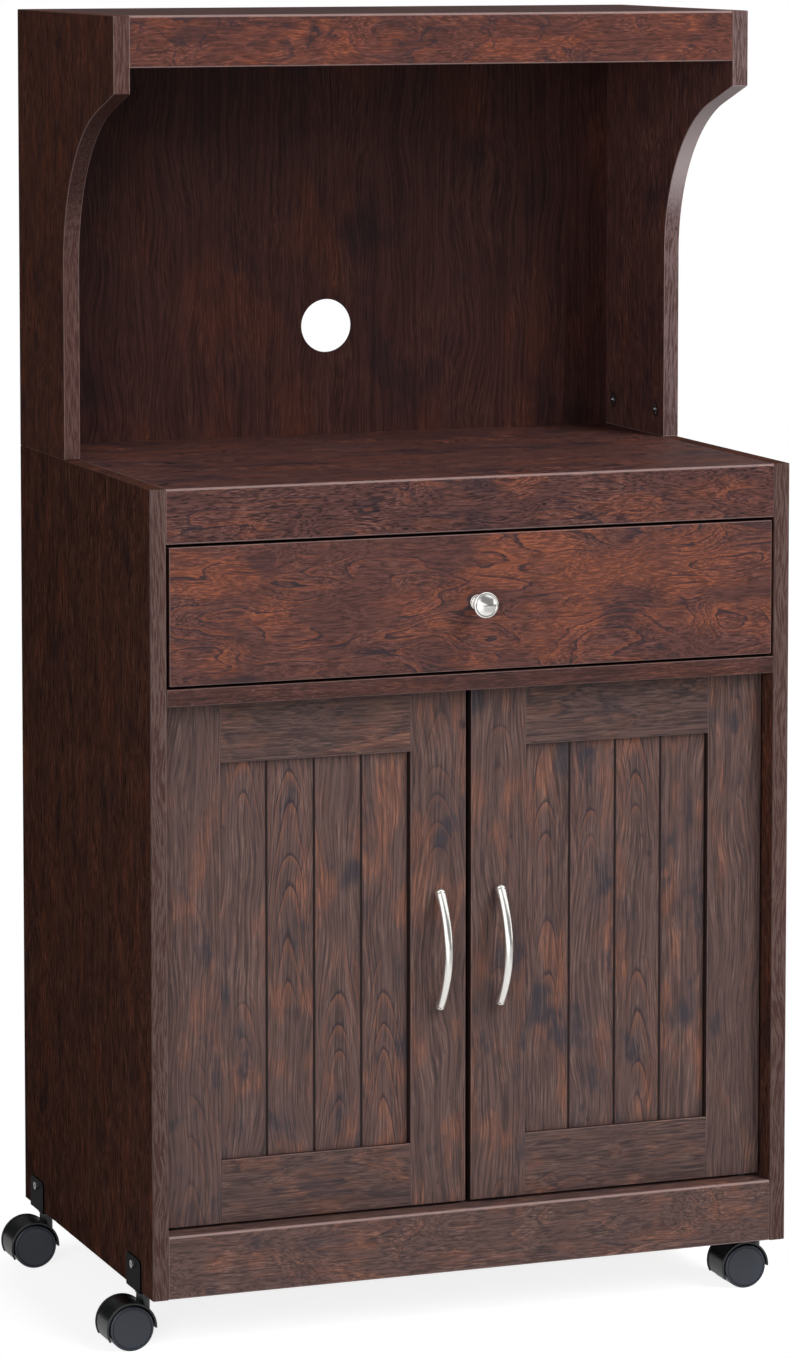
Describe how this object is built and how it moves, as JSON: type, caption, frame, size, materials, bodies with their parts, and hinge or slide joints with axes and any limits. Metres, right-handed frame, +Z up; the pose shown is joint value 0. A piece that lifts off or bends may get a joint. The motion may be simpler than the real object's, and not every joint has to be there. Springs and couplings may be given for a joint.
{
  "type": "microwave cart",
  "caption": "Rolling cabinet with a drawer, framed doors and an open hutch for a microwave oven.",
  "frame": {"origin": "on the floor, under the middle of the whole cart's box", "axes": "+Z up, -Y towards the doors and the drawer, +X to the right as seen from the front"},
  "size_m": [0.6345, 0.4156, 1.159],
  "materials": {
    "walnut_front": "dark walnut wood-grain foil, satin",
    "walnut_board": "dark walnut wood-grain foil, satin",
    "back_panel": "thin fibreboard, dark wood-grain foil in front and plain brown behind",
    "drawer_board": "fibreboard with a plain brown foil",
    "dowel_wood": "bare beech",
    "satin_nickel": "satin nickel plate",
    "zinc_steel": "zinc plated",
    "black_steel": "black, matte",
    "black_plastic": "black, moulded",
    "caster_plastic": "black, semi-gloss",
    "bush_nylon": "dark brown nylon"
  },
  "bodies": {
    "cabinet": {"base_left_side": "walnut_board", "base_right_side": "walnut_board", "worktop": "walnut_board", "worktop_apron": "walnut_front", "drawer_rail": "walnut_front", "bottom_board": "walnut_board", "lower_apron": "walnut_front", "base_back": "back_panel", "shelf": "walnut_board", "shelf_pins": "zinc_steel", "hutch_left_side": "walnut_board", "hutch_right_side": "walnut_board", "hutch_top": "walnut_board", "hutch_valance": "walnut_front", "hutch_back": "back_panel", "cam_fittings": "zinc_steel", "dowels": "dowel_wood", "back_nails": "zinc_steel", "cabinet_runners": "black_steel", "wood_screws": "zinc_steel", "magnetic_catches": "black_plastic", "door_bushes": "bush_nylon", "caster_plates": "black_steel", "caster_stems": "zinc_steel"},
    "drawer": {"drawer_front": "walnut_front", "drawer_left_side": "drawer_board", "drawer_right_side": "drawer_board", "drawer_back": "drawer_board", "drawer_bottom": "drawer_board", "drawer_runners": "black_steel", "drawer_runner_screws": "zinc_steel", "drawer_dowels": "dowel_wood", "drawer_knob": "satin_nickel", "knob_screw": "zinc_steel"},
    "left_door": {"left_door_hinge_stile": "walnut_front", "left_door_meeting_stile": "walnut_front", "left_door_top_rail": "walnut_front", "left_door_bottom_rail": "walnut_front", "left_door_panel": "walnut_front", "left_door_handle": "satin_nickel", "left_handle_screws": "zinc_steel", "left_door_pins": "zinc_steel", "left_door_strike": "zinc_steel"},
    "right_door": {"right_door_hinge_stile": "walnut_front", "right_door_meeting_stile": "walnut_front", "right_door_top_rail": "walnut_front", "right_door_bottom_rail": "walnut_front", "right_door_panel": "walnut_front", "right_door_handle": "satin_nickel", "right_handle_screws": "zinc_steel", "right_door_pins": "zinc_steel", "right_door_strike": "zinc_steel"},
    "front_left_swivel": {"front_left_hood": "caster_plastic"},
    "front_left_wheel_pair": {"front_left_wheels": "caster_plastic"},
    "front_right_swivel": {"front_right_hood": "caster_plastic"},
    "front_right_wheel_pair": {"front_right_wheels": "caster_plastic"},
    "rear_left_swivel": {"rear_left_hood": "caster_plastic"},
    "rear_left_wheel_pair": {"rear_left_wheels": "caster_plastic"},
    "rear_right_swivel": {"rear_right_hood": "caster_plastic"},
    "rear_right_wheel_pair": {"rear_right_wheels": "caster_plastic"}
  },
  "joints": [
    {"name": "drawer_slide", "type": "slide", "parent": "cabinet", "child": "drawer", "axis": [0, -1, 0], "range_m": [0, 0.23]},
    {"name": "left_door_hinge", "type": "hinge", "parent": "cabinet", "child": "left_door", "pos_m": [-0.25575, -0.1553, 0.11], "axis": [0, 0, -1], "range_deg": [0, 100]},
    {"name": "right_door_hinge", "type": "hinge", "parent": "cabinet", "child": "right_door", "pos_m": [0.28325, -0.1553, 0.11], "axis": [0, 0, 1], "range_deg": [0, 100]},
    {"name": "front_left_swivel_turn", "type": "hinge", "parent": "cabinet", "child": "front_left_swivel", "pos_m": [-0.27875, -0.1308, 0.045], "axis": [0, 0, 1], "continuous": true},
    {"name": "front_left_wheel_roll", "type": "hinge", "parent": "front_left_swivel", "child": "front_left_wheel_pair", "pos_m": [-0.29425, -0.1308, 0.02], "axis": [0, 1, 0], "continuous": true},
    {"name": "front_right_swivel_turn", "type": "hinge", "parent": "cabinet", "child": "front_right_swivel", "pos_m": [0.30625, -0.1308, 0.045], "axis": [0, 0, 1], "continuous": true},
    {"name": "front_right_wheel_roll", "type": "hinge", "parent": "front_right_swivel", "child": "front_right_wheel_pair", "pos_m": [0.29075, -0.1308, 0.02], "axis": [0, 1, 0], "continuous": true},
    {"name": "rear_left_swivel_turn", "type": "hinge", "parent": "cabinet", "child": "rear_left_swivel", "pos_m": [-0.27875, 0.1622, 0.045], "axis": [0, 0, 1], "continuous": true},
    {"name": "rear_left_wheel_roll", "type": "hinge", "parent": "rear_left_swivel", "child": "rear_left_wheel_pair", "pos_m": [-0.29425, 0.1622, 0.02], "axis": [0, 1, 0], "continuous": true},
    {"name": "rear_right_swivel_turn", "type": "hinge", "parent": "cabinet", "child": "rear_right_swivel", "pos_m": [0.30625, 0.1622, 0.045], "axis": [0, 0, 1], "continuous": true},
    {"name": "rear_right_wheel_roll", "type": "hinge", "parent": "rear_right_swivel", "child": "rear_right_wheel_pair", "pos_m": [0.29075, 0.1622, 0.02], "axis": [0, 1, 0], "continuous": true}
  ]
}
